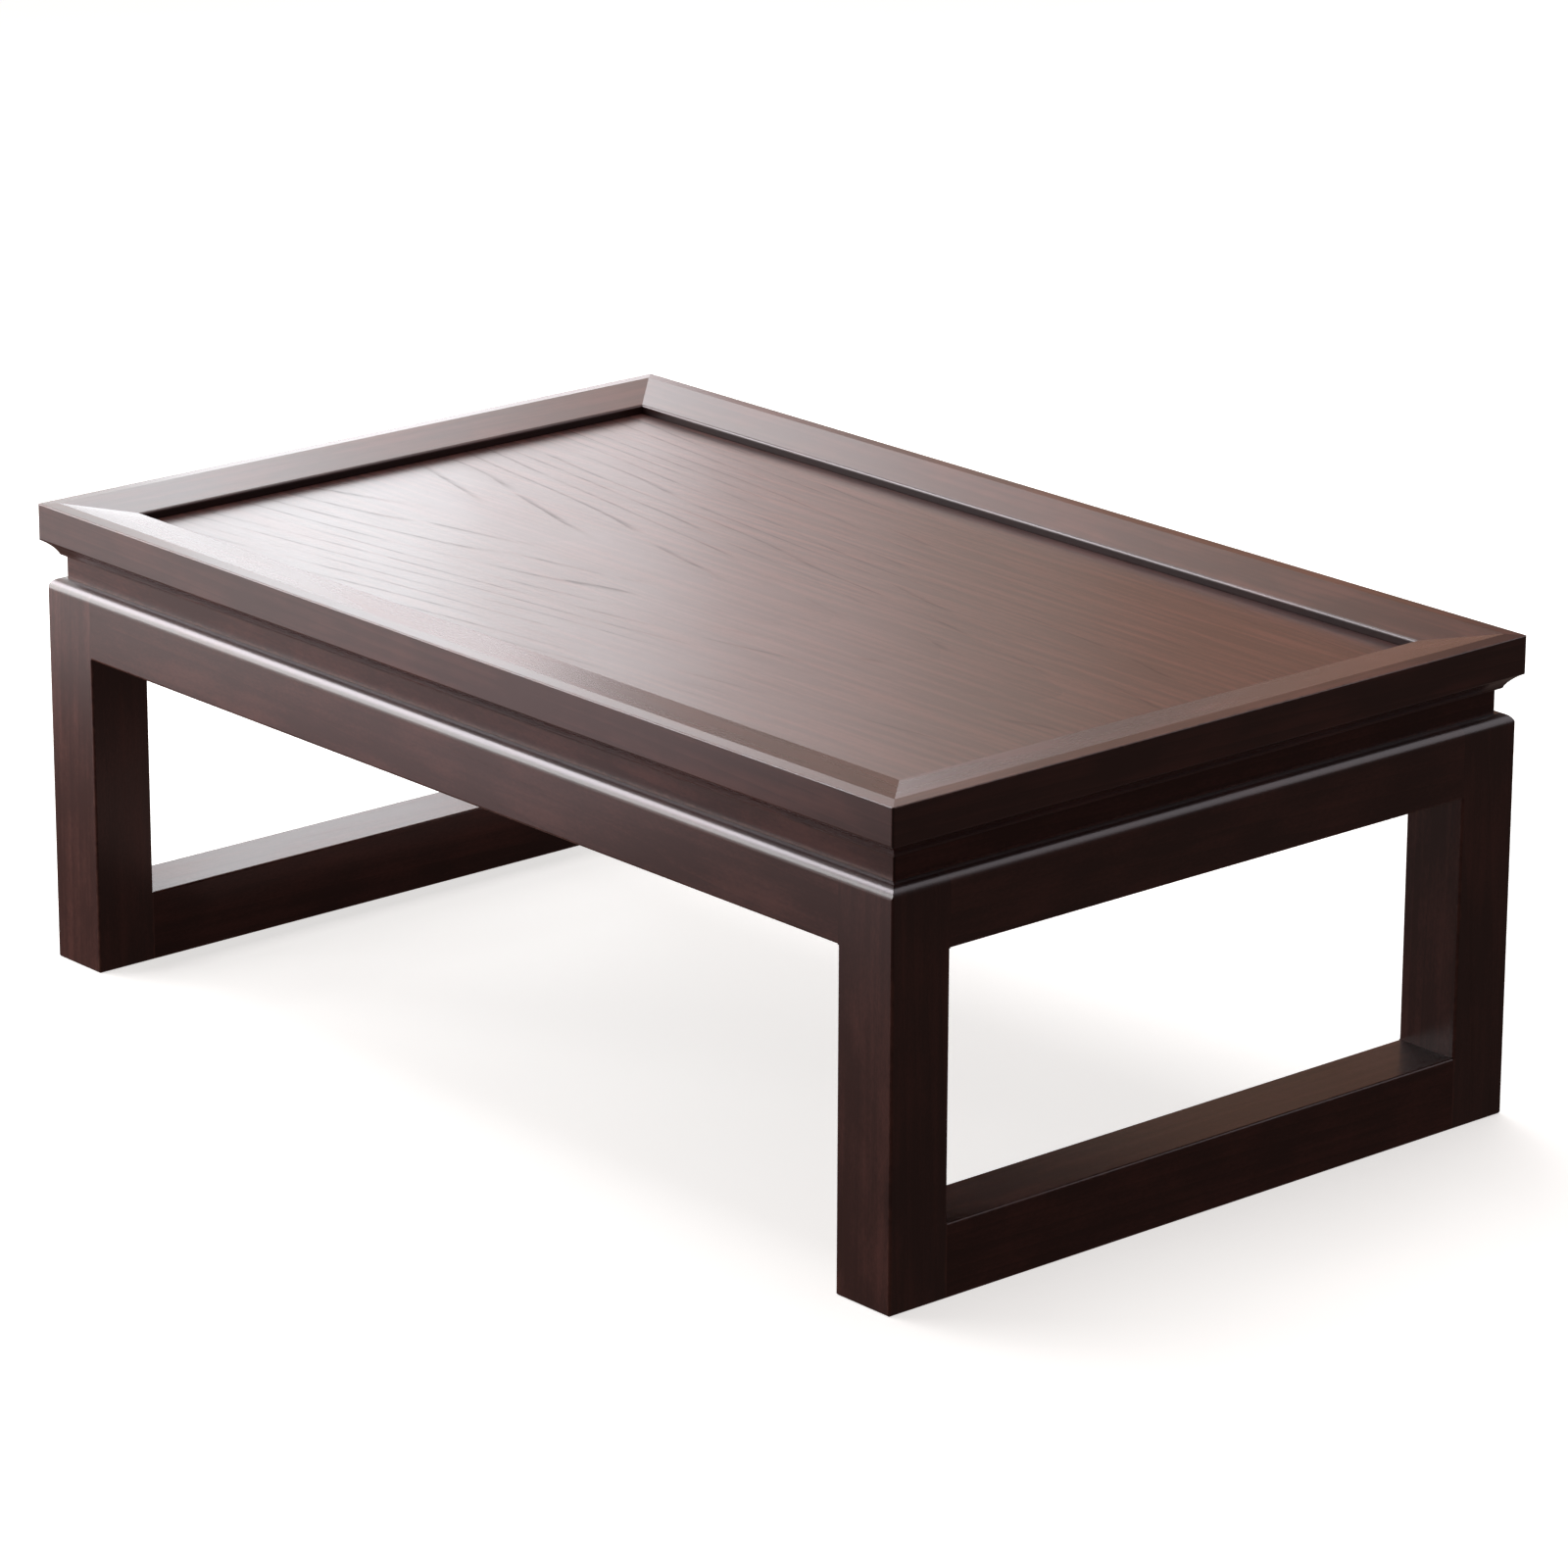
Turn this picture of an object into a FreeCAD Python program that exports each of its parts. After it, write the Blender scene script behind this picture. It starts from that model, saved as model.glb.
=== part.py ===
import FreeCAD, Part
import os
import re
from collections import namedtuple

import Sketcher

# Low tea table of dark stained wood. A panel sits sunken in a mitred frame, the frame stands on a set-back
# waist, and below it four aprons with a rounded top edge join the legs. A floor runner closes each short
# end into a rectangular loop.
# Millimetres, +X along the table, +Y towards its back, +Z up, origin on the floor under the middle.

SIZES = {
    # the whole table
    "table_length": 800.0,
    "table_width": 500.0,
    "table_height": 300.0,
    # top frame: plan width of a rail, its rim that falls a little outwards, the fall of its top towards the
    # panel, upright edge, cove and bead under it
    "rail_width": 46.0,
    "rim_width": 9.5,
    "rim_fall": 0.5,
    "rail_slope_drop": 5.4,
    "rail_edge_height": 24.0,
    "cove_depth": 9.0,
    "cove_height": 8.0,
    "cove_radius": 20.0,
    "cove_bead": 1.7,
    "groove_depth": 10.0,
    # sunken panel: its top lies below the rails' inner edge, and its tongue below its top
    "panel_drop": 5.7,
    "panel_thickness": 10.0,
    "panel_gap": 0.5,
    "panel_tongue_thickness": 5.0,
    "panel_tongue_setback": 2.0,
    "panel_growth_gap": 1.5,
    # battens under the panel
    "batten_count": 3,
    "batten_spacing": 220.0,
    "batten_width": 36.0,
    "batten_height": 20.0,
    "dovetail_neck": 22.0,
    "dovetail_flare": 2.0,
    "dovetail_depth": 3.0,
    "batten_tenon_width": 24.0,
    "batten_tenon_thickness": 8.0,
    "batten_tenon_length": 12.0,
    # waist boards, set back from the frame's outer edge
    "waist_setback": 12.2,
    "waist_height": 14.8,
    "waist_tongue_thickness": 5.0,
    "waist_tongue_height": 4.0,
    # aprons, set back from the frame's outer edge
    "apron_setback": 3.4,
    "apron_height": 44.0,
    "apron_thickness": 22.0,
    "apron_round": 7.5,
    "apron_tenon_inset": 7.0,
    "apron_tenon_thickness": 8.0,
    "apron_tenon_margin": 6.0,
    "apron_tenon_length": 22.0,
    # legs, flush with the aprons
    "leg_width_x": 45.0,
    "leg_width_y": 43.0,
    "leg_tenon_margin": 3.0,
    "leg_tenon_depth": 10.0,
    # floor runners between the legs of each short end
    "runner_height": 45.0,
    "runner_tenon_thickness": 14.0,
    "runner_tenon_margin": 8.0,
    "runner_tenon_length": 26.0,
    # loose tenons across the mitres of the frame
    "mitre_tenon_width": 22.0,
    "mitre_tenon_length": 26.0,
    "mitre_tenon_thickness": 8.0,
    "mitre_tenon_web": 1.0,
    # blocks behind the aprons that hold the top frame down
    "block_length": 70.0,
    "block_thickness": 20.0,
    "block_height": 36.0,
    "block_offset": 110.0,
    # countersunk wood screws of the blocks
    "screw_radius": 2.0,
    "screw_head_radius": 4.0,
    "screw_head_height": 2.4,
    "screw_tip": 5.0,
    "side_screw_spacing": 44.0,
    "side_screw_drop": 12.0,
    "side_screw_bite": 14.0,
    "top_screw_bite": 10.0,
    "counterbore_depth": 12.0,
    # softened edges
    "arris_radius": 1.5,
    "rim_arris_radius": 0.8,
    "foot_chamfer": 1.0,
    # fits, and how far a cutting shape stands out past what it cuts
    "joint_clearance": 0.1,
    "tenon_end_gap": 1.0,
    "screw_clearance": 0.15,
    "cut_overrun": 5.0,
}

doc = FreeCAD.newDocument("low_tea_table")
sheet = doc.addObject("Spreadsheet::Sheet", "size")
for row, (alias, number) in enumerate(SIZES.items(), start=1):
    sheet.set(f"A{row}", alias)
    sheet.set(f"B{row}", str(number))
    sheet.setAlias(f"B{row}", alias)
doc.recompute()

# Heights above the floor, as formulas of the sizes.
UNDERSIDE = "(table_height - rail_edge_height - cove_height - cove_bead)"
INNER_EDGE = "(table_height - rail_slope_drop)"
PANEL_TOP = f"({INNER_EDGE} - panel_drop)"
PANEL_LOW = f"({PANEL_TOP} - panel_thickness)"
TONGUE_TOP = f"({PANEL_TOP} - panel_tongue_setback)"
TONGUE_LOW = f"({TONGUE_TOP} - panel_tongue_thickness)"
APRON_TOP = f"({UNDERSIDE} - waist_height)"
APRON_LOW = f"({APRON_TOP} - apron_height)"
LEG_TENON_TOP = f"({UNDERSIDE} + leg_tenon_depth)"
MITRE_TENON_LOW = f"({LEG_TENON_TOP} + tenon_end_gap + mitre_tenon_web)"

# Distances in from the frame's outer edge.
APRON_BACK = "(apron_setback + apron_thickness)"
BLOCK_BACK = f"({APRON_BACK} + block_thickness)"
WAIST_MIDDLE = f"((waist_setback + {APRON_BACK}) / 2)"

# A side of the table: the axis that it runs along, which side of the middle it is on, its half length, its
# distance from the middle, and the leg's width along it.
Side = namedtuple("Side", "name axis sign half_along half_across leg_width")
SIDES = [
    Side("front", "x", -1, "table_length / 2", "table_width / 2", "leg_width_x"),
    Side("back", "x", 1, "table_length / 2", "table_width / 2", "leg_width_x"),
    Side("left", "y", -1, "table_width / 2", "table_length / 2", "leg_width_y"),
    Side("right", "y", 1, "table_width / 2", "table_length / 2", "leg_width_y"),
]
ENDS = (-1, 1)
CORNERS = [(sx, sy) for sy in ENDS for sx in ENDS]
CORNER_NAMES = {(-1, -1): "front_left", (1, -1): "front_right", (-1, 1): "back_left", (1, 1): "back_right"}

pieces = {}


def driven(formula):
    """A formula of size names as an expression that reads the sheet."""
    return re.sub("[a-z_]{2,}", lambda word: f"size.{word[0]}" if word[0] in SIZES else word[0], formula)


def number_of(formula):
    """What a formula of size names comes to."""
    return float(sheet.evalExpression(driven(formula)))


def piece(label, shape):
    """Keep a finished document object as a piece of the table, under its plain name."""
    shape.Label = label
    pieces[label] = shape


def span(sign, near, far):
    """The low and high ends of a stretch from near to far of the middle, on one side of it."""
    if sign > 0:
        return near, far
    return f"-({far})", f"-({near})"


def inward(side, inset):
    """The coordinate across a side that lies inset in from the frame's outer edge."""
    return f"{side.sign} * ({side.half_across} - ({inset}))"


def plan(side, along, inset):
    """The x and y of a point along a side and inset from the frame's outer edge."""
    across = inward(side, inset)
    return (along, across) if side.axis == "x" else (across, along)


# Sketches and bodies

PLANE_AXES = {"XY_Plane": "xy", "XZ_Plane": "xz", "YZ_Plane": "yz"}
SECTION_PLANE = {"x": "YZ_Plane", "y": "XZ_Plane"}


def new_sketch(body, name, plane, rise=None):
    """An empty sketch on an origin plane of the body, raised along the plane's normal if asked."""
    sketch = body.newObject("Sketcher::SketchObject", name)
    support = next(feature for feature in body.Origin.OriginFeatures if feature.Role == plane)
    sketch.AttachmentSupport = (support, [""])
    sketch.MapMode = "FlatFace"
    if rise:
        sketch.setExpression("AttachmentOffset.Base.z", driven(rise))
    return sketch


def arc_between(start, end, radius, turn):
    """The short arc from start to end; turn is 1 where its centre lies to the left of the way, else -1."""
    chord = end - start
    left = FreeCAD.Vector(-chord.y, chord.x, 0).normalize()
    reach = (radius ** 2 - chord.Length ** 2 / 4) ** 0.5
    centre = (start + end) / 2 + left * (turn * reach)
    first, last = (start, end) if turn > 0 else (end, start)
    circle = Part.Circle(centre, FreeCAD.Vector(0, 0, 1), radius)
    return Part.ArcOfCircle(circle, circle.parameter(first), circle.parameter(last))


def add_outline(sketch, corners, arcs=None):
    """A closed outline whose corners are pairs of formulas, each held by two driven distances.

    arcs gives, for the number of a corner, the radius formula and the turn of the arc that leaves it.
    """
    arcs = arcs or {}
    points = [FreeCAD.Vector(number_of(x), number_of(y), 0) for x, y in corners]
    count = len(points)
    starts = []
    ends = []
    for i, point in enumerate(points):
        following = points[(i + 1) % count]
        if i in arcs:
            radius, turn = arcs[i]
            edge = sketch.addGeometry(arc_between(point, following, number_of(radius), turn), False)
            hold = sketch.addConstraint(Sketcher.Constraint("Radius", edge, number_of(radius)))
            sketch.setExpression(f"Constraints[{hold}]", driven(radius))
        else:
            turn = 1
            edge = sketch.addGeometry(Part.LineSegment(point, following), False)
        starts.append((edge, 1 if turn > 0 else 2))
        ends.append((edge, 2 if turn > 0 else 1))
    for i, corner in enumerate(corners):
        sketch.addConstraint(Sketcher.Constraint("Coincident", *ends[i - 1], *starts[i]))
        for kind, formula in zip(("DistanceX", "DistanceY"), corner):
            distance = Sketcher.Constraint(kind, -1, 1, *starts[i], number_of(formula))
            hold = sketch.addConstraint(distance)
            sketch.setExpression(f"Constraints[{hold}]", driven(formula))


def stick(name, plane, corners, length, arcs=None):
    """A body with one section all along it, half of its length on each side of the section's plane."""
    body = doc.addObject("PartDesign::Body", f"{name}_body")
    section = new_sketch(body, "section", plane)
    add_outline(section, corners, arcs)
    pad = body.newObject("PartDesign::Pad", "run")
    pad.Profile = section
    pad.SideType = "Symmetric"
    pad.setExpression("Length", driven(length))
    doc.recompute()
    return body


def edges_through(shape, spots):
    """Names of the edges of a shape whose middles are the given points."""
    names = []
    for i, edge in enumerate(shape.Edges, start=1):
        if any(edge.CenterOfMass.distanceToPoint(spot) < 0.01 for spot in spots):
            names.append(f"Edge{i}")
    if len(names) != len(spots):
        raise ValueError(f"found {len(names)} of {len(spots)} edges")
    return names


def soften(body, kind, size, plane, corners):
    """Round or chamfer the long edges of a stick that stand on the given corners of its section."""
    spots = []
    for corner in corners:
        spot = FreeCAD.Vector()
        for axis, formula in zip(PLANE_AXES[plane], corner):
            setattr(spot, axis, number_of(formula))
        spots.append(spot)
    base = body.Tip
    edges = edges_through(base.Shape, spots)
    feature = body.newObject(f"PartDesign::{kind}", kind.lower())
    feature.Base = (base, edges)
    feature.setExpression("Radius" if kind == "Fillet" else "Size", driven(size))
    doc.recompute()


def pocket(body, sketch, depth=None):
    """Cut a sketch out of a body, down from its plane or, with no depth, right through both ways."""
    before = body.Shape.Volume
    feature = body.newObject("PartDesign::Pocket", "cut")
    feature.Profile = sketch
    if depth:
        feature.setExpression("Length", driven(depth))
    else:
        feature.Type = "ThroughAll"
        feature.SideType = "Symmetric"
    doc.recompute()
    if not body.Shape.Volume < before:
        raise ValueError(f"{body.Name}: a pocket cut nothing")


def round_corner(body, plane, corner, outward, radius, top=None, depth=None):
    """Round one corner of a body's section, right through or for a depth down from a top.

    The cut is the spandrel between the two faces and the arc; outward points out of the corner.
    """
    (x, y), (dx, dy) = corner, outward
    inner_x = f"{x} - {dx} * ({radius})"
    inner_y = f"{y} - {dy} * ({radius})"
    outer_x = f"{x} + {dx} * cut_overrun"
    outer_y = f"{y} + {dy} * cut_overrun"
    spandrel = [(x, inner_y), (inner_x, y), (inner_x, outer_y), (outer_x, outer_y), (outer_x, inner_y)]
    sketch = new_sketch(body, "spandrel", plane, top)
    add_outline(sketch, spandrel, {0: (radius, dx * dy)})
    pocket(body, sketch, depth)


# Boxes, screws and the cuts and joins between them

def box(name, x, y, z):
    """A box between the low and high formulas of each axis."""
    block = doc.addObject("Part::Box", name)
    for axis, extent, (low, high) in zip("xyz", ("Length", "Width", "Height"), (x, y, z)):
        block.setExpression(f"Placement.Base.{axis}", driven(low))
        block.setExpression(extent, driven(f"({high}) - ({low})"))
    return block


def side_box(side, name, along, inset, z):
    """A box along a side, between two insets from the frame's outer edge."""
    near, far = inset
    across = span(side.sign, f"{side.half_across} - ({far})", f"{side.half_across} - ({near})")
    x, y = (along, across) if side.axis == "x" else (across, along)
    return box(name, x, y, z)


def grown(bounds, room):
    """The low and high formulas of a stretch with some room added at both ends."""
    low, high = bounds
    return f"{low} - {room}", f"{high} + {room}"


def mortise_run(sign, mouth, tip):
    """A mortise's stretch from outside its mouth to the gap past the tenon's tip, away from the middle."""
    return span(sign, f"{mouth} - cut_overrun", f"{tip} + tenon_end_gap")


def joined(name, parts):
    """Parts that are one piece of wood."""
    fuse = doc.addObject("Part::MultiFuse", name)
    fuse.Shapes = parts
    return fuse


def cut_from(name, base, tools):
    """A piece of wood with its mortises and holes cut out."""
    result = doc.addObject("Part::Cut", name)
    result.Base = base
    result.Tool = tools[0] if len(tools) == 1 else joined(f"{name}_tools", tools)
    return result


def on_axis(kind, name, start, direction, offset, sizes):
    """A round primitive that starts an offset along a direction from a point, with sizes as formulas."""
    solid = doc.addObject(f"Part::{kind}", name)
    turn = FreeCAD.Rotation(FreeCAD.Vector(0, 0, 1), FreeCAD.Vector(*direction))
    solid.Placement = FreeCAD.Placement(FreeCAD.Vector(), turn)
    for axis, formula, step in zip("xyz", start, direction):
        solid.setExpression(f"Placement.Base.{axis}", driven(f"{formula} + {step} * ({offset})"))
    for prop, formula in sizes.items():
        solid.setExpression(prop, driven(formula))
    return solid


def countersunk(name, start, direction, length, room):
    """Head, shank and tip of a screw along a direction from the middle of its head, with room all round."""
    radius = f"screw_radius + {room}"
    head = {"Radius1": f"screw_head_radius + {room}", "Radius2": radius, "Height": "screw_head_height"}
    shank = {"Radius": radius, "Height": f"{length} - screw_head_height - screw_tip"}
    tip = {"Radius1": radius, "Radius2": f"screw_radius / 4 + {room}", "Height": f"screw_tip + {room}"}
    return joined(name, [
        on_axis("Cone", f"{name}_head", start, direction, "0", head),
        on_axis("Cylinder", f"{name}_shank", start, direction, "screw_head_height", shank),
        on_axis("Cone", f"{name}_tip", start, direction, f"{length} - screw_tip", tip),
    ])


# Cutting shapes and tenons that two pieces share

mortises = {}


def add_mortise(label, tool):
    """Remember a cutting shape for the piece that it is cut from."""
    mortises.setdefault(label, []).append(tool)


def leg_of(side, end):
    """The name of the leg at one end of a side."""
    sx, sy = (end, side.sign) if side.axis == "x" else (side.sign, end)
    return f"leg_{CORNER_NAMES[sx, sy]}"


def tenon_into_legs(side, label, inset, z, length):
    """The two tenons at the ends of a stick between legs, with their mortises cut in the legs."""
    shoulder = f"{side.half_along} - apron_setback - {side.leg_width}"
    tenons = []
    for end in ENDS:
        run = span(end, shoulder, f"{shoulder} + {length}")
        tenons.append(side_box(side, f"{label}_tenon", run, inset, z))
        room = mortise_run(end, shoulder, f"{shoulder} + {length}")
        cheeks = grown(inset, "joint_clearance")
        edges = grown(z, "joint_clearance")
        add_mortise(leg_of(side, end), side_box(side, f"{label}_mortise", room, cheeks, edges))
    return tenons


def mitre_ends(body, side):
    """Cut both ends of a stick along the diagonals from the frame's outer corners."""
    sketch = new_sketch(body, "mitres", "XY_Plane")
    outside = "-cut_overrun"
    inside = "rail_width + cut_overrun"
    for end in ENDS:
        tip = f"{end} * ({side.half_along} + cut_overrun)"
        heel = f"{end} * ({side.half_along} - rail_width - cut_overrun)"
        add_outline(sketch, [plan(side, tip, outside), plan(side, tip, inside), plan(side, heel, inside)])
    pocket(body, sketch)


def round_mitre_tips(body, side, inset):
    """Soften the upright corners of a mitred stick whose face lies inset from the frame's outer edge."""
    for end in ENDS:
        corner = plan(side, f"{end} * ({side.half_along} - {inset})", inset)
        outward = (end, side.sign) if side.axis == "x" else (side.sign, end)
        round_corner(body, "XY_Plane", corner, outward, "arris_radius")


# Fixing blocks behind the aprons and waist, with their screws

side_screws = []
top_screws = []


def make_fixing_block(label, side, middle):
    """A block screwed sideways into the apron and upwards into the rail above it."""
    along = f"{middle} - block_length / 2", f"{middle} + block_length / 2"
    low = f"({UNDERSIDE} - block_height)"
    wood = side_box(side, f"{label}_wood", along, (APRON_BACK, BLOCK_BACK), (low, UNDERSIDE))
    holes = []
    outward = (0, side.sign, 0) if side.axis == "x" else (side.sign, 0, 0)
    side_length = "block_thickness + side_screw_bite"
    for end in ENDS:
        x, y = plan(side, f"{middle} + {end} * side_screw_spacing / 2", BLOCK_BACK)
        start = (x, y, f"{APRON_TOP} - side_screw_drop")
        side_screws.append(countersunk("side_screw", start, outward, side_length, "0"))
        hole = countersunk("side_screw_hole", start, outward, side_length, "screw_clearance")
        holes.append(hole)
        add_mortise(f"apron_{side.name}", hole)
    seat = f"{low} + counterbore_depth"
    top_length = "block_height - counterbore_depth + top_screw_bite"
    x, y = plan(side, middle, f"{APRON_BACK} + block_thickness / 2")
    up = (0, 0, 1)
    top_screws.append(countersunk("top_screw", (x, y, seat), up, top_length, "0"))
    hole = countersunk("top_screw_hole", (x, y, seat), up, top_length, "screw_clearance")
    bore_sizes = {
        "Radius": "screw_head_radius + screw_clearance",
        "Height": "counterbore_depth + cut_overrun",
    }
    bore = on_axis("Cylinder", "counterbore", (x, y, f"{low} - cut_overrun"), up, "0", bore_sizes)
    holes += [hole, bore]
    add_mortise(f"frame_rail_{side.name}", hole)
    piece(label, cut_from(label, wood, holes))


for side in SIDES:
    if side.axis == "x":
        for end, end_name in zip(ENDS, ("left", "right")):
            make_fixing_block(f"fixing_block_{side.name}_{end_name}", side, f"{end} * block_offset")
    else:
        make_fixing_block(f"fixing_block_{side.name}", side, "0")

for label, screws in (("block_side_screws", side_screws), ("block_top_screws", top_screws)):
    group = doc.addObject("Part::Compound", label)
    group.Links = screws
    piece(label, group)


# Sunken panel and the battens under it

def batten_middle(i):
    """How far along the table a batten's middle is."""
    return f"(({i} - (batten_count - 1) / 2) * batten_spacing)"


def make_batten(label, i):
    """A batten with a dovetail ridge in the panel's underside and a stub tenon in each long rail."""
    middle = batten_middle(i)
    low = f"({PANEL_LOW} - batten_height)"
    ridge = f"{PANEL_LOW} + dovetail_depth - joint_clearance"
    half_section = [
        ("batten_width / 2", low),
        ("batten_width / 2", PANEL_LOW),
        ("dovetail_neck / 2", PANEL_LOW),
        ("dovetail_neck / 2 + dovetail_flare", ridge),
    ]
    right = [(f"{middle} + {x}", z) for x, z in half_section]
    left = [(f"{middle} - ({x})", z) for x, z in reversed(half_section)]
    shoulder = "table_width / 2 - rail_width"
    body = stick(label, "XZ_Plane", right + left, f"2 * ({shoulder})")
    soften(body, "Fillet", "arris_radius", "XZ_Plane", [right[0], left[-1]])
    across = f"{middle} - batten_tenon_width / 2", f"{middle} + batten_tenon_width / 2"
    tenon_low = f"({UNDERSIDE} + {TONGUE_LOW} - batten_tenon_thickness) / 2"
    heights = tenon_low, f"{tenon_low} + batten_tenon_thickness"
    tenons = []
    for side in SIDES[:2]:
        tip = f"{shoulder} + batten_tenon_length"
        tenons.append(box(f"{label}_tenon", across, span(side.sign, shoulder, tip), heights))
        cheeks = grown(across, "joint_clearance")
        edges = grown(heights, "joint_clearance")
        mortise = box(f"{label}_mortise", cheeks, mortise_run(side.sign, shoulder, tip), edges)
        add_mortise(f"frame_rail_{side.name}", mortise)
    piece(label, joined(label, [body] + tenons))


def make_panel(batten_total):
    """The panel: a field, a tongue all round it, and dovetail housings across its underside."""
    field = [f"{half} - rail_width - panel_gap" for half in ("table_length / 2", "table_width / 2")]
    tongue = [f"{half} - rail_width + groove_depth - panel_growth_gap"
              for half in ("table_length / 2", "table_width / 2")]
    board = joined("panel_board", [
        box("panel_field", *[(f"-({reach})", reach) for reach in field], (PANEL_LOW, PANEL_TOP)),
        box("panel_tongue", *[(f"-({reach})", reach) for reach in tongue], (TONGUE_LOW, TONGUE_TOP)),
    ])
    housings = []
    for i in range(batten_total):
        neck = "dovetail_neck / 2 + joint_clearance"
        mouth = f"{neck} - dovetail_flare * cut_overrun / dovetail_depth"
        floor = f"{neck} + dovetail_flare"
        low = f"{PANEL_LOW} - cut_overrun"
        high = f"{PANEL_LOW} + dovetail_depth"
        middle = batten_middle(i)
        section = [
            (f"{middle} - ({mouth})", low),
            (f"{middle} + {mouth}", low),
            (f"{middle} + {floor}", high),
            (f"{middle} - ({floor})", high),
        ]
        housings.append(stick(f"housing_{i + 1}", "XZ_Plane", section, "table_width"))
    piece("top_panel", cut_from("top_panel", board, housings))


batten_total = int(number_of("batten_count"))
for i in range(batten_total):
    make_batten(f"panel_batten_{i + 1}", i)
make_panel(batten_total)


# Legs: the tenon on top reaches past the waist into the frame's corner

def make_leg(sx, sy):
    """A leg with its rounded top edges, softened arrises, top tenon and mortises."""
    corner = CORNER_NAMES[sx, sy]
    label = f"leg_{corner}"
    out_x = f"{sx} * (table_length / 2 - apron_setback)"
    out_y = f"{sy} * (table_width / 2 - apron_setback)"
    in_x = f"{sx} * (table_length / 2 - apron_setback - leg_width_x)"
    in_y = f"{sy} * (table_width / 2 - apron_setback - leg_width_y)"
    body = doc.addObject("PartDesign::Body", f"{label}_body")
    section = new_sketch(body, "section", "XY_Plane")
    add_outline(section, [(in_x, in_y), (out_x, in_y), (out_x, out_y), (in_x, out_y)])
    pad = body.newObject("PartDesign::Pad", "height")
    pad.Profile = section
    pad.setExpression("Length", driven(APRON_TOP))
    doc.recompute()
    round_corner(body, "XY_Plane", (out_x, out_y), (sx, sy), "arris_radius")
    below_apron = (APRON_LOW, APRON_LOW)
    runner_to_apron = (APRON_LOW, f"{APRON_LOW} - runner_height")
    runner_to_top = (APRON_TOP, f"{APRON_TOP} - runner_height")
    round_corner(body, "XY_Plane", (in_x, out_y), (-sx, sy), "arris_radius", *below_apron)
    round_corner(body, "XY_Plane", (out_x, in_y), (sx, -sy), "arris_radius", *runner_to_apron)
    round_corner(body, "XY_Plane", (in_x, in_y), (-sx, -sy), "arris_radius", *runner_to_top)
    round_corner(body, "YZ_Plane", (out_y, APRON_TOP), (sy, 1), "apron_round")
    round_corner(body, "XZ_Plane", (out_x, APRON_TOP), (sx, 1), "apron_round")
    chamfer_foot(body, number_of(in_y))
    across = []
    for half, leg_width in (("table_length / 2", "leg_width_x"), ("table_width / 2", "leg_width_y")):
        near = f"{APRON_BACK} + leg_tenon_margin"
        far = f"min(rail_width; apron_setback + {leg_width}) - leg_tenon_margin"
        across.append((f"{half} - ({far})", f"{half} - ({near})"))
    reach_x, reach_y = (span(sign, *reach) for sign, reach in zip((sx, sy), across))
    tenon = box(f"{label}_tenon", reach_x, reach_y, (APRON_TOP, LEG_TENON_TOP))
    room_x, room_y = (grown(reach, "joint_clearance") for reach in (reach_x, reach_y))
    room_z = (f"{UNDERSIDE} - cut_overrun", f"{LEG_TENON_TOP} + tenon_end_gap")
    mortise = box(f"{label}_tenon_mortise", room_x, room_y, room_z)
    for side in SIDES:
        if side.sign == (sy if side.axis == "x" else sx):
            add_mortise(f"frame_rail_{side.name}", mortise)
    return label, joined(f"{label}_wood", [body, tenon])


def chamfer_foot(body, runner_face):
    """Chamfer the edges of a leg's foot, apart from the edge that meets the runner."""
    base = body.Tip
    edges = []
    for i, edge in enumerate(base.Shape.Edges, start=1):
        on_floor = edge.BoundBox.ZMax < 0.01
        at_runner = edge.BoundBox.YLength < 0.01 and abs(edge.CenterOfMass.y - runner_face) < 0.01
        if on_floor and not at_runner:
            edges.append(f"Edge{i}")
    feature = body.newObject("PartDesign::Chamfer", "foot")
    feature.Base = (base, edges)
    feature.setExpression("Size", driven("foot_chamfer"))
    doc.recompute()


legs = dict(make_leg(sx, sy) for sx, sy in CORNERS)


# Aprons, waist boards and runners

def section_of(side, profile):
    """A profile of insets and heights as the corners of a side's section."""
    return [(inward(side, inset), z) for inset, z in profile]


def make_apron(side):
    """An apron with a rounded top edge and a tenon at each end."""
    label = f"apron_{side.name}"
    profile = [
        ("apron_setback", APRON_LOW),
        (APRON_BACK, APRON_LOW),
        (APRON_BACK, APRON_TOP),
        ("apron_setback + apron_round", APRON_TOP),
        ("apron_setback", f"{APRON_TOP} - apron_round"),
    ]
    plane = SECTION_PLANE[side.axis]
    corners = section_of(side, profile)
    length = f"2 * ({side.half_along} - apron_setback - {side.leg_width})"
    body = stick(label, plane, corners, length, {3: ("apron_round", -side.sign)})
    soften(body, "Fillet", "arris_radius", plane, corners[:2])
    face = "apron_setback + apron_tenon_inset"
    inset = (face, f"{face} + apron_tenon_thickness")
    z = (f"{APRON_LOW} + apron_tenon_margin", f"{APRON_TOP} - apron_tenon_margin")
    tenons = tenon_into_legs(side, label, inset, z, "apron_tenon_length")
    wood = joined(f"{label}_wood", [body] + tenons)
    piece(label, cut_from(label, wood, mortises[label]))


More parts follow.
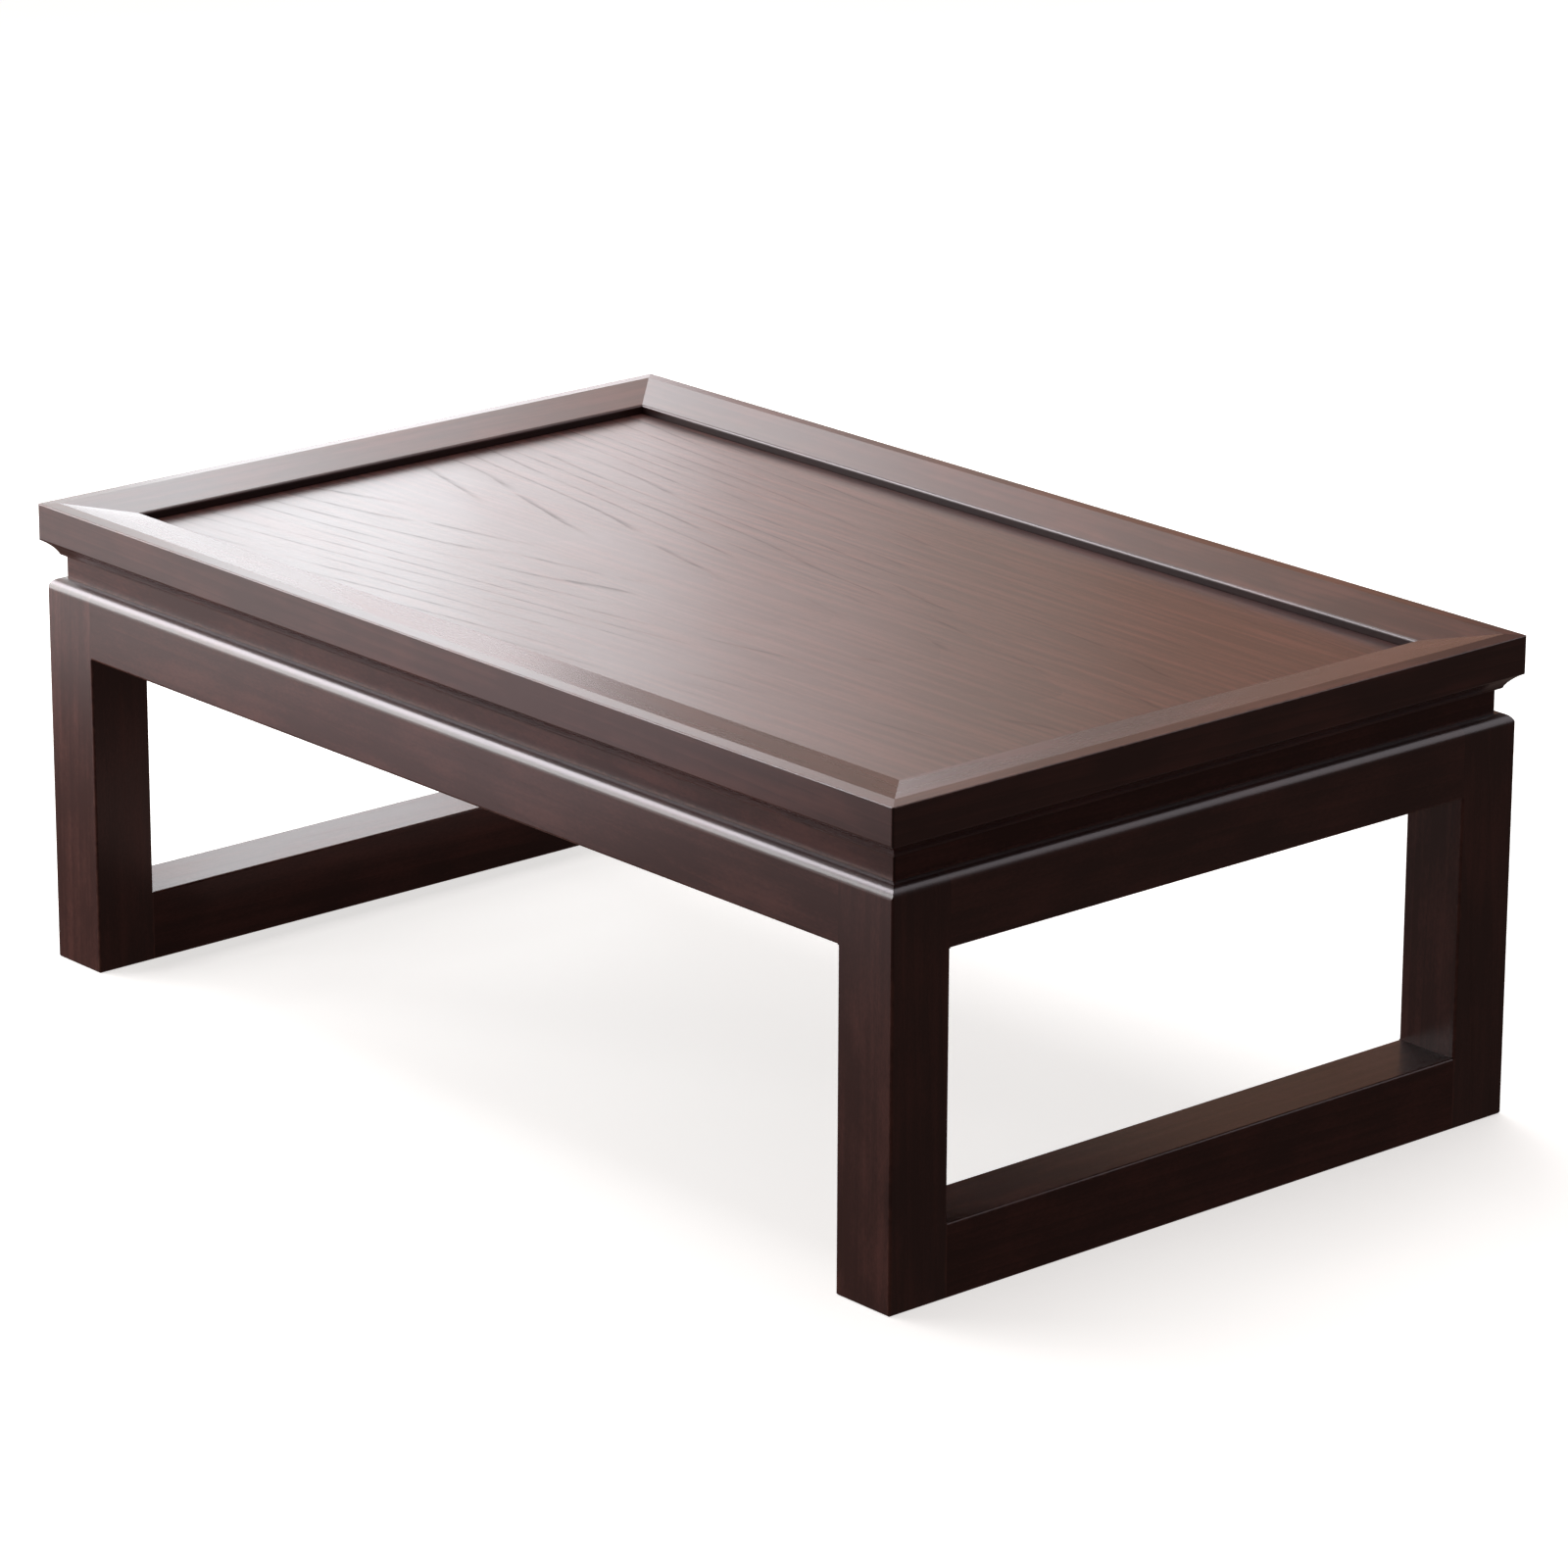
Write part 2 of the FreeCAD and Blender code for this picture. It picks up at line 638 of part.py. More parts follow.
def make_waist(side):
    """A waist board with a tongue up into the rail, mitred at both ends."""
    label = f"waist_{side.name}"
    tongue_out = f"{WAIST_MIDDLE} - waist_tongue_thickness / 2"
    tongue_in = f"{WAIST_MIDDLE} + waist_tongue_thickness / 2"
    tongue_top = f"{UNDERSIDE} + waist_tongue_height"
    profile = [
        ("waist_setback", APRON_TOP),
        (APRON_BACK, APRON_TOP),
        (APRON_BACK, UNDERSIDE),
        (tongue_in, UNDERSIDE),
        (tongue_in, tongue_top),
        (tongue_out, tongue_top),
        (tongue_out, UNDERSIDE),
        ("waist_setback", UNDERSIDE),
    ]
    plane = SECTION_PLANE[side.axis]
    corners = section_of(side, profile)
    body = stick(label, plane, corners, f"2 * ({side.half_along} - waist_setback)")
    mitre_ends(body, side)
    round_mitre_tips(body, side, "waist_setback")
    piece(label, body)


def make_runner(side):
    """A floor runner, flush with the legs of a short end, with a tenon at each end."""
    label = f"runner_{side.name}"
    back = "apron_setback + leg_width_x"
    profile = [
        ("apron_setback", "0"),
        (back, "0"),
        (back, "runner_height"),
        ("apron_setback", "runner_height"),
    ]
    plane = SECTION_PLANE[side.axis]
    corners = section_of(side, profile)
    body = stick(label, plane, corners, f"2 * ({side.half_along} - apron_setback - {side.leg_width})")
    soften(body, "Fillet", "arris_radius", plane, corners[2:])
    soften(body, "Chamfer", "foot_chamfer", plane, corners[:2])
    cheek = "apron_setback + (leg_width_x - runner_tenon_thickness) / 2"
    inset = (cheek, f"{cheek} + runner_tenon_thickness")
    z = ("runner_tenon_margin", "runner_height - runner_tenon_margin")
    tenons = tenon_into_legs(side, label, inset, z, "runner_tenon_length")
    piece(label, joined(label, [body] + tenons))


for side in SIDES:
    make_apron(side)
    make_waist(side)
    if side.axis == "y":
        make_runner(side)

for label, wood in legs.items():
    piece(label, cut_from(label, wood, mortises[label]))


# Top frame: rails and the loose tenons across their mitres

def turned_box(name, sx, sy, room, end_room):
    """A box across a mitre of the frame, square to it, with room on its cheeks and at its ends."""
    length = f"(mitre_tenon_length + 2 * {end_room})"
    width = f"(mitre_tenon_width + 2 * {room})"
    low = f"{MITRE_TENON_LOW} - {room}"
    lean = -sx * sy
    block = doc.addObject("Part::Box", name)
    turn = FreeCAD.Rotation(FreeCAD.Vector(0, 0, 1), 45 * lean)
    block.Placement = FreeCAD.Placement(FreeCAD.Vector(), turn)
    middle_x = f"{sx} * (table_length / 2 - rail_width / 2)"
    middle_y = f"{sy} * (table_width / 2 - rail_width / 2)"
    back_x = f"sqrt(0.5) * ({length} - {lean} * {width}) / 2"
    back_y = f"sqrt(0.5) * ({lean} * {length} + {width}) / 2"
    block.setExpression("Placement.Base.x", driven(f"{middle_x} - {back_x}"))
    block.setExpression("Placement.Base.y", driven(f"{middle_y} - {back_y}"))
    block.setExpression("Placement.Base.z", driven(low))
    block.setExpression("Length", driven(length))
    block.setExpression("Width", driven(width))
    block.setExpression("Height", driven(f"mitre_tenon_thickness + 2 * {room}"))
    return block


for sx, sy in CORNERS:
    corner = CORNER_NAMES[sx, sy]
    piece(f"mitre_tenon_{corner}", turned_box(f"mitre_tenon_{corner}", sx, sy, "0", "0"))
    mortise = turned_box(f"mitre_mortise_{corner}", sx, sy, "joint_clearance", "tenon_end_gap")
    for side in SIDES:
        if side.sign == (sy if side.axis == "x" else sx):
            add_mortise(f"frame_rail_{side.name}", mortise)


def make_rail(side):
    """A mitred rail with a rim, a sloping top, a panel groove, a slot for the waist, and a bead and cove."""
    label = f"frame_rail_{side.name}"
    groove_top = f"{TONGUE_TOP} + joint_clearance"
    groove_floor = "rail_width - groove_depth"
    slot_half = "(waist_tongue_thickness / 2 + joint_clearance)"
    slot_top = f"{UNDERSIDE} + waist_tongue_height + tenon_end_gap"
    profile = [
        ("0", "table_height - rim_fall"),
        ("rim_width", "table_height"),
        ("rail_width", INNER_EDGE),
        ("rail_width", groove_top),
        (groove_floor, groove_top),
        (groove_floor, TONGUE_LOW),
        ("rail_width", TONGUE_LOW),
        ("rail_width", UNDERSIDE),
        (f"{WAIST_MIDDLE} + {slot_half}", UNDERSIDE),
        (f"{WAIST_MIDDLE} + {slot_half}", slot_top),
        (f"{WAIST_MIDDLE} - {slot_half}", slot_top),
        (f"{WAIST_MIDDLE} - {slot_half}", UNDERSIDE),
        ("cove_bead + cove_depth", UNDERSIDE),
        ("cove_depth", f"{UNDERSIDE} + cove_bead"),
        ("0", f"{UNDERSIDE} + cove_bead + cove_height"),
    ]
    plane = SECTION_PLANE[side.axis]
    corners = section_of(side, profile)
    moulding = len(corners) - 3
    arcs = {moulding: ("cove_bead", side.sign), moulding + 1: ("cove_radius", -side.sign)}
    body = stick(label, plane, corners, f"2 * {side.half_along}", arcs)
    soften(body, "Fillet", "rim_arris_radius", plane, corners[:1])
    soften(body, "Fillet", "arris_radius", plane, [corners[2], corners[-1]])
    mitre_ends(body, side)
    round_mitre_tips(body, side, "0")
    piece(label, cut_from(label, body, mortises[label]))


for side in SIDES:
    make_rail(side)


# Checks, then one file for each piece

doc.recompute()
failed = [part.Label for part in doc.Objects if {"Invalid", "Error"} & set(part.State)]
if failed:
    raise RuntimeError(f"failed objects: {failed}")
for label, part in pieces.items():
    if part.Shape.isNull() or not part.Shape.isValid() or not part.Shape.Solids:
        raise RuntimeError(f"{label} has no valid solid")

os.makedirs("parts", exist_ok=True)
for label, part in sorted(pieces.items()):
    part.Shape.exportStep(os.path.join("parts", f"{label}.step"))
    print(f"{label}: {len(part.Shape.Solids)} solid(s), {part.Shape.Volume / 1000:.1f} cm3")
print(f"{len(pieces)} pieces")
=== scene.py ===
# %% [markdown]
# # A low tea table of dark stained wood
# A table like this is joined from straight sticks of one hardwood, stained dark and brushed with a
# satin lacquer. The shapes are already exact in the CAD model, so this lesson adds what a drawing
# can't hold: the grain of each stick, the stain that sinks into it, the lacquer over it, and the soft
# window light that shows all three.
#
# The first step loads the pieces, and a small helper measures the box round any one of them.

import math

import bpy
import numpy as np
from mathutils import Euler, Matrix, Vector


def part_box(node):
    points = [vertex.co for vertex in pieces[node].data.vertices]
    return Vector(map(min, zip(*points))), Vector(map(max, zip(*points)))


MM_PER_M = 1000.0

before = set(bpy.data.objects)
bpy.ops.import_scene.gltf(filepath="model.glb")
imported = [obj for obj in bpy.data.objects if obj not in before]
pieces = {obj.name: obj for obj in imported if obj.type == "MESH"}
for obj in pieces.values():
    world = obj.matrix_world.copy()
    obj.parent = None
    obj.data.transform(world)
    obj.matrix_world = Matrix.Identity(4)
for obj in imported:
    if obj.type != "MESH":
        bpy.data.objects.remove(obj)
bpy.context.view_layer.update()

# %% [markdown]
# The photograph was taken from beyond the right end of the front, a little above the table, through
# a long lens. The table's corners were measured in it and a pinhole camera was fitted to them, which
# gave the place, the turn and the focal length below. A long lens far away keeps the edges of the top
# nearly parallel, and a short lens near by would spread them.

# %% Camera
PHOTO_PIXELS = 1600
FOCAL_PIXELS = 6943.8
SENSOR_MM = 36.0
CAMERA_SPOT = Vector((2.99295, -2.59333, 1.44770))
HEADING, FALL, ROLL = (math.radians(angle) for angle in (48.8641, 17.9927, 0.2265))

lens = bpy.data.cameras.new("long_lens")
lens.sensor_width = SENSOR_MM
lens.lens = SENSOR_MM * FOCAL_PIXELS / PHOTO_PIXELS
camera = bpy.data.objects.new("camera", lens)
camera.matrix_world = (
    Matrix.Translation(CAMERA_SPOT)
    @ Matrix.Rotation(HEADING, 4, "Z")
    @ Matrix.Rotation(math.pi / 2 - FALL, 4, "X")
    @ Matrix.Rotation(ROLL, 4, "Z")
)
bpy.context.scene.collection.objects.link(camera)
bpy.context.scene.camera = camera
print("lens", round(lens.lens, 1), "mm")

# %% [markdown]
# Finishes here are worked out from formulas, and each step of a formula is a node. A small class wraps
# the output of a node, so that `1 - mask` or `ring * 0.5` in Python adds the Math node that does the
# same. Formulas stay readable that way, where a tree of fifty loose nodes would not.

# %% A value as a node
class Field:
    """A value that changes from place to place: the output of one node."""

    def __init__(self, finish, socket):
        self.finish = finish
        self.socket = socket

    def math(self, operation, *values):
        return self.finish.node("ShaderNodeMath", {"operation": operation}, dict(enumerate(values)))

    def __add__(self, other):
        return self.math("ADD", self, other)

    def __sub__(self, other):
        return self.math("SUBTRACT", self, other)

    def __rsub__(self, other):
        return self.math("SUBTRACT", other, self)

    def __mul__(self, other):
        return self.math("MULTIPLY", self, other)

    def __truediv__(self, other):
        return self.math("DIVIDE", self, other)

    def __pow__(self, other):
        return self.math("POWER", self, other)

    __radd__ = __add__
    __rmul__ = __mul__


print("fields ready")

# %% [markdown]
# A second class holds the node tree, and one method of it makes every kind of node. The other methods
# are the few steps that every finish below repeats: a smooth ramp between two values, soft noise of a
# given size, the three numbers of a place, and a blend of two colours.

# %% A finish as a tree of nodes
class Finish:
    """The nodes of one finish, or of the light round the table."""

    def __init__(self, tree):
        self.tree = tree
        tree.nodes.clear()

    def node(self, kind, settings, sockets, out=0):
        """A node of this kind: its settings come first, then a number or a field for each socket."""
        made = self.tree.nodes.new(kind)
        for name, setting in settings.items():
            setattr(made, name, setting)
        for name, value in sockets.items():
            if isinstance(value, Field):
                self.tree.links.new(value.socket, made.inputs[name])
            else:
                made.inputs[name].default_value = value
        return Field(self, made.outputs[out]) if made.outputs else made

    def ramp(self, value, low, high):
        """0 where the value is at low, 1 where it is at high, with a smooth turn at both ends."""
        return self.node(
            "ShaderNodeMapRange", {"interpolation_type": "SMOOTHSTEP"},
            {"Value": value, "From Min": low, "From Max": high},
        )

    def noise(self, place, sizes, detail=2.0):
        """Soft spots between 0 and 1, of the given sizes along the three directions of the place."""
        scaled = self.node(
            "ShaderNodeVectorMath", {"operation": "DIVIDE"}, {0: place, 1: sizes},
        )
        return self.node("ShaderNodeTexNoise", {}, {"Vector": scaled, "Scale": 1.0, "Detail": detail})

    def split(self, place):
        """The three numbers of a place."""
        parts = self.node("ShaderNodeSeparateXYZ", {}, {0: place}).socket.node.outputs
        return [Field(self, part) for part in parts]

    def blend(self, share, first, second):
        """The first colour where the share is 0, and the second where it is 1."""
        return self.node(
            "ShaderNodeMix", {"data_type": "RGBA"}, {0: share, 6: first, 7: second}, out=2,
        )


def new_finish(name):
    """A material with an empty node tree, and the tree's builder."""
    material = bpy.data.materials.new(name)
    material.use_nodes = True
    return material, Finish(material.node_tree)


print("node builder ready")

# %% [markdown]
# The floor is a plain pale sheet, so that nothing competes with the dark wood, and a little glow in its
# paint keeps it pale. It is left out of the reflections and the bounced light, because the right end of
# the table is nearly black, and a white floor would wash it out.

# %% Floor
FLOOR_HALF = 12.0
PAINT_PATCH = (0.3, 0.3, 0.3)
PALE_PAINT = (0.80, 0.79, 0.78, 1.0)
PALER_PAINT = (0.84, 0.83, 0.82, 1.0)
PAINT_GLOW = 0.85


def pale_floor():
    """A flat square sheet under the table, with a faint mottle in its paint."""
    corners = [(-1, -1, 0), (1, -1, 0), (1, 1, 0), (-1, 1, 0)]
    sheet = bpy.data.meshes.new("pale_floor")
    sheet.from_pydata((np.array(corners) * FLOOR_HALF).tolist(), [], [(0, 1, 2, 3)])
    material, finish = new_finish("pale_paint")
    place = finish.node("ShaderNodeTexCoord", {}, {}, out="Object")
    pale = finish.blend(finish.noise(place, PAINT_PATCH), PALE_PAINT, PALER_PAINT)
    paint = finish.node("ShaderNodeBsdfPrincipled", {}, {
        "Base Color": pale, "Roughness": 0.9, "Specular IOR Level": 0.0,
        "Emission Color": pale, "Emission Strength": PAINT_GLOW,
    })
    finish.node("ShaderNodeOutputMaterial", {}, {"Surface": paint})
    sheet.materials.append(material)
    return bpy.data.objects.new("pale_floor", sheet)


floor = pale_floor()
floor.visible_diffuse = False
floor.visible_glossy = False
bpy.context.scene.collection.objects.link(floor)
print("floor", 2 * FLOOR_HALF, "m square")

# %% [markdown]
# The gloss of the top shows where the light is: bright at the left and fading to the right. So a tall
# window stands at the left, and beyond it a curtain fades step by step into a wall, with a bright sill
# below. A wide panel overhead lights the top and the floor, and a low one at the left of the front
# lights the long side. Three pale cards on the floor are what the front faces mirror. Two panels show
# in the gloss only, and they draw the thin bright lines of the rounded edges. A faint glow under the
# table keeps its inner faces from going black, and the right end gets only a dim even light.

# %% Window and room light
DAYLIGHT = (0.95, 0.97, 1.0)
PLAIN = (1.0, 1.0, 1.0)
CURTAIN = (1.0, 0.95, 0.96)
HEM = (1.0, 0.80, 0.76)
PLASTER = (1.0, 0.80, 0.68)
TIMBER = (1.0, 0.50, 0.30)
LILAC = (0.97, 0.93, 1.0)
ROSE = (1.0, 0.90, 0.90)
DIM_ROSE = (1.0, 0.77, 0.80)
DUSK = (1.0, 0.60, 0.55)
ROOM_TINT = (1.0, 0.70, 0.62, 1.0)
ROOM_GLOW = 0.10


def soft_panel(name, middle, aim, size, tint, shows, radiance):
    """A rectangle of even light at the middle, facing the aim, with the given glow per unit of area.

    One that shows in the gloss alone is a bright thing far off: it is mirrored but lights nothing."""
    light = bpy.data.lights.new(name, "AREA")
    light.shape = "RECTANGLE"
    light.size, light.size_y = size
    light.color = tint
    light.energy = radiance * math.pi * size[0] * size[1]
    panel = bpy.data.objects.new(name, light)
    facing = (Vector(aim) - Vector(middle)).to_track_quat("-Z", "Y")
    panel.matrix_world = Matrix.Translation(middle) @ facing.to_matrix().to_4x4()
    panel.visible_camera = False
    panel.visible_diffuse = shows == "all"
    bpy.context.scene.collection.objects.link(panel)


# Each row holds the name, the middle, the aim, the size, the tint, where it shows and the glow.
PANELS = (
    ("window", (-2.2, -0.25, 1.4), (0.0, -0.25, 1.4), (2.7, 1.8), PLAIN, "all", 1.7),
    ("curtain_near", (-2.2, 1.3, 1.4), (0.0, 1.3, 1.4), (0.4, 1.8), DAYLIGHT, "all", 3.45),
    ("curtain_mid", (-2.2, 1.65, 1.4), (0.0, 1.65, 1.4), (0.3, 1.8), CURTAIN, "all", 1.9),
    ("curtain_far", (-2.2, 1.95, 1.55), (0.0, 1.95, 1.55), (0.3, 1.5), HEM, "all", 1.1),
    ("sill", (-2.19, 1.68, 0.68), (0.0, 1.68, 0.68), (0.4, 0.36), LILAC, "all", 1.0),
    ("wall_near", (-2.2, 2.25, 1.55), (0.0, 2.25, 1.55), (0.3, 1.5), PLASTER, "all", 0.6),
    ("wall_far", (-2.2, 2.75, 1.4), (0.0, 2.75, 1.4), (0.7, 1.8), TIMBER, "all", 0.38),
    ("overhead", (-0.9, 0.5, 2.6), (-0.9, 0.5, 0.0), (2.6, 2.6), PLAIN, "all", 2.9),
    ("sky", (-2.08, -1.45, 1.7), (0.0, -0.25, 0.25), (1.4, 1.2), LILAC, "gloss", 12.0),
    ("front_left", (-1.5, -1.4, 0.5), (0.0, -0.25, 0.2), (1.4, 0.8), PLAIN, "all", 7.4),
    ("card_left", (-1.2, -1.15, 0.01), (-1.2, -1.15, 1.0), (0.9, 1.1), ROSE, "all", 1.45),
    ("card_mid", (-0.555, -1.15, 0.01), (-0.555, -1.15, 1.0), (0.39, 1.1), DIM_ROSE, "all", 1.2),
    ("card_right", (-0.13, -1.15, 0.01), (-0.13, -1.15, 1.0), (0.46, 1.1), DIM_ROSE, "all", 0.2),
    ("floor_glow", (-0.14, 0.05, 0.003), (-0.14, 0.05, 1.0), (0.28, 0.32), DUSK, "all", 0.28),
    ("high_back", (1.6, 2.1, 1.8), (0.4, 0.0, 0.25), (1.6, 2.0), LILAC, "gloss", 1.6),
)
for panel in PANELS:
    soft_panel(*panel)

sky = bpy.data.worlds.new("room")
sky.use_nodes = True
room = Finish(sky.node_tree)
glow = room.node("ShaderNodeBackground", {}, {"Strength": ROOM_GLOW, "Color": ROOM_TINT})
room.node("ShaderNodeOutputWorld", {}, {"Surface": glow})
bpy.context.scene.world = sky
bpy.context.scene.view_settings.view_transform = "Standard"
print("lights", [light.name for light in bpy.data.lights])

# %% [markdown]
# Wood is cut from a round tree, so the figure on every face comes from one solid pattern: rings round
# the heart of the tree, which lies beside the stick. The pattern is laid in the stick's own directions,
# along, across and through, in millimetres from that heart. A picture wrapped on the faces would break
# at the edges, while a solid pattern runs on round them as real grain does.

# %% Directions of the grain
GRAIN = {
    "length": Euler((0.0, 0.0, 0.0)),
    "width": Euler((0.0, 0.0, -math.pi / 2)),
    "height": Euler((0.0, math.pi / 2, 0.0)),
}


def stick_place(finish, piece, along, heart):
    """Millimetres along, across and through the stick, measured from the heart of its tree."""
    low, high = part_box(piece)
    middle = GRAIN[along].to_matrix() @ ((low + high) / 2 * MM_PER_M)
    place = finish.node("ShaderNodeTexCoord", {}, {}, out="Object")
    return finish.node("ShaderNodeMapping", {}, {
        "Vector": place, "Rotation": GRAIN[along], "Scale": (MM_PER_M, MM_PER_M, MM_PER_M),
        "Location": Vector(heart) - middle,
    })


print("grain runs along", list(GRAIN))

# %% [markdown]
# Each year the tree adds a ring, which starts in spring with a row of open pores. Cut lengthways, the
# rows show as lines, and because the tree tapers, the lines of a flat-sawn board close into long
# arches. The rings are a sawtooth of the distance from the heart, pushed about by a slow noise so that
# no two are the same width.

# %% Rings
DRIFT_SIZE = (420.0, 34.0, 34.0)
DRIFT_MM = 14.0


def ring_pattern(finish, place, ring_width, taper):
    """How far each point is through its year's ring, from 0 in the spring to 1 in the autumn.

    It is the distance from the heart, plus the taper along the stick and a slow drift, counted in ring
    widths, of which the whole part is dropped."""
    along, across, through = finish.split(place)
    radius = (across * across + through * through) ** 0.5
    drift = finish.noise(place, DRIFT_SIZE, 1.0) - 0.5
    ring = (radius + taper * along + DRIFT_MM * drift) / ring_width
    return ring.math("FRACT", ring)


print("rings drift by up to", DRIFT_MM / 2, "mm")

# %% [markdown]
# The pores are tiny tubes that the saw has cut open. Most lie in the spring rows, which fade in and out
# along their length as they do in old boards, and short fine ones lie all over. Both are masks: 1 in an
# open pore and 0 in closed wood. The stain and the lacquer will read them later.

# %% Pores
ROW_PEAK, ROW_END = 0.03, 0.20
STRETCH_SIZE, STRETCH_FADE = (150.0, 16.0, 16.0), (0.38, 0.66)
STROKE_SIZE, STROKE_FADE = (30.0, 1.2, 1.2), (0.28, 0.62)
STROKE_DEPTH = 0.6
CROWN_FADE = (40.0, 700.0)
PORE_SIZE, PORE_FADE = (7.0, 0.5, 0.5), (0.58, 0.76)


def pore_rows(finish, place, season, thinning=0.0):
    """1 in the row of open pores that begins each spring, and 0 between.

    The row starts sharply and thins out over a fifth of the year. Two noises break it up: a long one
    fades whole stretches, more of them further along where the rows are thinning, and a short narrow
    one splits the rest into strokes. Right over the heart, where the arches close, the row is faint."""
    along, across, _ = finish.split(place)
    row = finish.ramp(season, 0.0, ROW_PEAK) * (1 - finish.ramp(season, ROW_PEAK, ROW_END))
    stretch = finish.ramp(finish.noise(place, STRETCH_SIZE) - thinning * along, *STRETCH_FADE)
    stroke = finish.ramp(finish.noise(place, STROKE_SIZE, 1.0), *STROKE_FADE)
    crown = finish.ramp(across * across, *CROWN_FADE)
    return row * stretch * crown * (1 - STROKE_DEPTH + STROKE_DEPTH * stroke)


def fine_pores(finish, place):
    """1 in the short fine dashes that lie all over the wood, and 0 between."""
    return finish.ramp(finish.noise(place, PORE_SIZE, 1.0), *PORE_FADE)


print("pores ready, the fine ones", PORE_SIZE[0], "mm long")

# %% [markdown]
# Years of use show at the edges first. Hands and cloths rub the stain thin there, so the brown wood
# comes through in a narrow broken line. Every piece is a straight stick, and that makes its long edges
# easy to find: there, both distances across the stick to the sides of its box are nearly nothing. On
# the end of a stick the distance along the grain is nothing, and that marks the end grain.

# %% Rubbed edges and end grain
WEAR_SIZE, WEAR_REACH = (0.008, 0.008, 0.008), 0.004
EDGE_FADE = (0.0002, 0.0018)
END_FADE = (0.0002, 0.0006)


def side_distances(finish, piece, along):
    """How far each point is from the nearer side of the stick's box: along the grain, then across it.

    That is half of the box less the distance from its middle."""
    low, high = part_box(piece)
    place = finish.node("ShaderNodeTexCoord", {}, {}, out="Object")
    offset = finish.node(
        "ShaderNodeVectorMath", {"operation": "SUBTRACT"}, {0: place, 1: (low + high) / 2},
    )
    spread = finish.node("ShaderNodeVectorMath", {"operation": "ABSOLUTE"}, {0: offset})
    inside = finish.node(
        "ShaderNodeVectorMath", {"operation": "SUBTRACT"}, {0: (high - low) / 2, 1: spread},
    )
    distances = finish.split(inside)
    lengthways = distances.pop(list(GRAIN).index(along))
    return place, [lengthways] + distances


def rubbed_edges(finish, place, distances):
    """1 on the long edges of a stick, fading to 0 about 2 mm from them, in a broken line.

    The larger of the two distances across the stick tells how near the edge is."""
    edge = distances[1].math("MAXIMUM", distances[1], distances[2])
    wear = finish.noise(place, WEAR_SIZE, 3.0)
    return 1 - finish.ramp(edge + WEAR_REACH * (0.5 - wear), *EDGE_FADE)


def end_grain(finish, distances):
    """1 on the ends of a stick, whose open pores drink the stain, and 0 elsewhere."""
    return 1 - finish.ramp(distances[0], *END_FADE)


print("edges and ends ready")

# %% [markdown]
# The panel lies a little below the frame, so the frame has a narrow wall all round it. The shade in
# that narrow recess is painted on: the wall is stained darker, its lacquer is thinned and its face is
# made rough, so it is dark and dull. Its mask needs the side of the rail that looks inwards, and it
# starts under the rounded edge, which keeps its shine.

# %% Painted shade on the walls of the recess
WALL_DROP = 0.007
WALL_TURN = 0.0004
WALL_INSIDE, WALL_FACE = 0.0008, 0.0002


def recess_wall_shade(finish, place, piece, inward):
    """1 on the flat wall of a frame rail that looks towards the middle of the table, and 0 elsewhere.

    The wall starts 7 mm below the top of the rail."""
    # This mask marks the painted shade of the recess: where it is 1 the wall is darkened and dulled.
    reach = max(Vector(inward).dot(corner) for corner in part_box(piece))
    near = finish.node(
        "ShaderNodeVectorMath", {"operation": "DOT_PRODUCT"}, {0: place, 1: inward}, out=1,
    )
    wall_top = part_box(piece)[1].z - WALL_DROP
    height = finish.split(place)[2]
    below_edge = 1 - finish.ramp(height, wall_top - WALL_TURN, wall_top + WALL_TURN)
    return below_edge * finish.ramp(near, reach - WALL_INSIDE, reach - WALL_FACE)


print("recess wall starts", MM_PER_M * WALL_DROP, "mm down")

# %% [markdown]
# The stain is a thin brown dye. It sinks deeper where the wood is open, so pores and end grain go
# nearly black, while the dense wood between keeps a red-brown glow. Streaks, clouds and fine specks
# make the glow uneven. The lacquer is brushed on thin: it stands off the open pores, so they stay dull
# while the wood between them shines. A Principled shader holds both layers, with the stain in its base
# and the lacquer in its coat. The shine does not follow the colour, so each has a formula of its own.

# %% Stain and lacquer
DEEP_STAIN = (0.050, 0.0160, 0.0132, 1.0)
WARM_STAIN = (0.110, 0.0375, 0.0300, 1.0)
# The near black of open pores and end grain, which is also the colour of the painted shade on the
# recess wall.
PORE_STAIN_AND_SHADE = (0.016, 0.0060, 0.0052, 1.0)
WORN_STAIN = (0.190, 0.0850, 0.0650, 1.0)
STREAK_SIZE = (180.0, 5.0, 5.0)
CLOUD_SIZE = (60.0, 26.0, 26.0)
SPECK_SIZE = (3.5, 1.4, 1.4)
MOTTLE_SHARE, MOTTLE_LIFT, AUTUMN_DIP = 0.95, 0.10, 0.08
WARM_FADE = (0.42, 0.76)
RUB_FADE, RUB_SHARE = 0.006, 0.5
# WALL_SHADE is painted shade: how far the recess wall is darkened towards the pore colour.
ROW_SOAK, END_SOAK, WALL_SHADE = 0.5, 0.7, 0.75
WOOD_ROUGH, PORE_ROUGH, CLOUD_ROUGH, WALL_ROUGH = 0.36, 0.25, 0.16, 0.4
PORE_BARE, RUB_BARE, WALL_BARE = 0.7, 0.2, 0.8
ABOVE_TABLE = 1.0


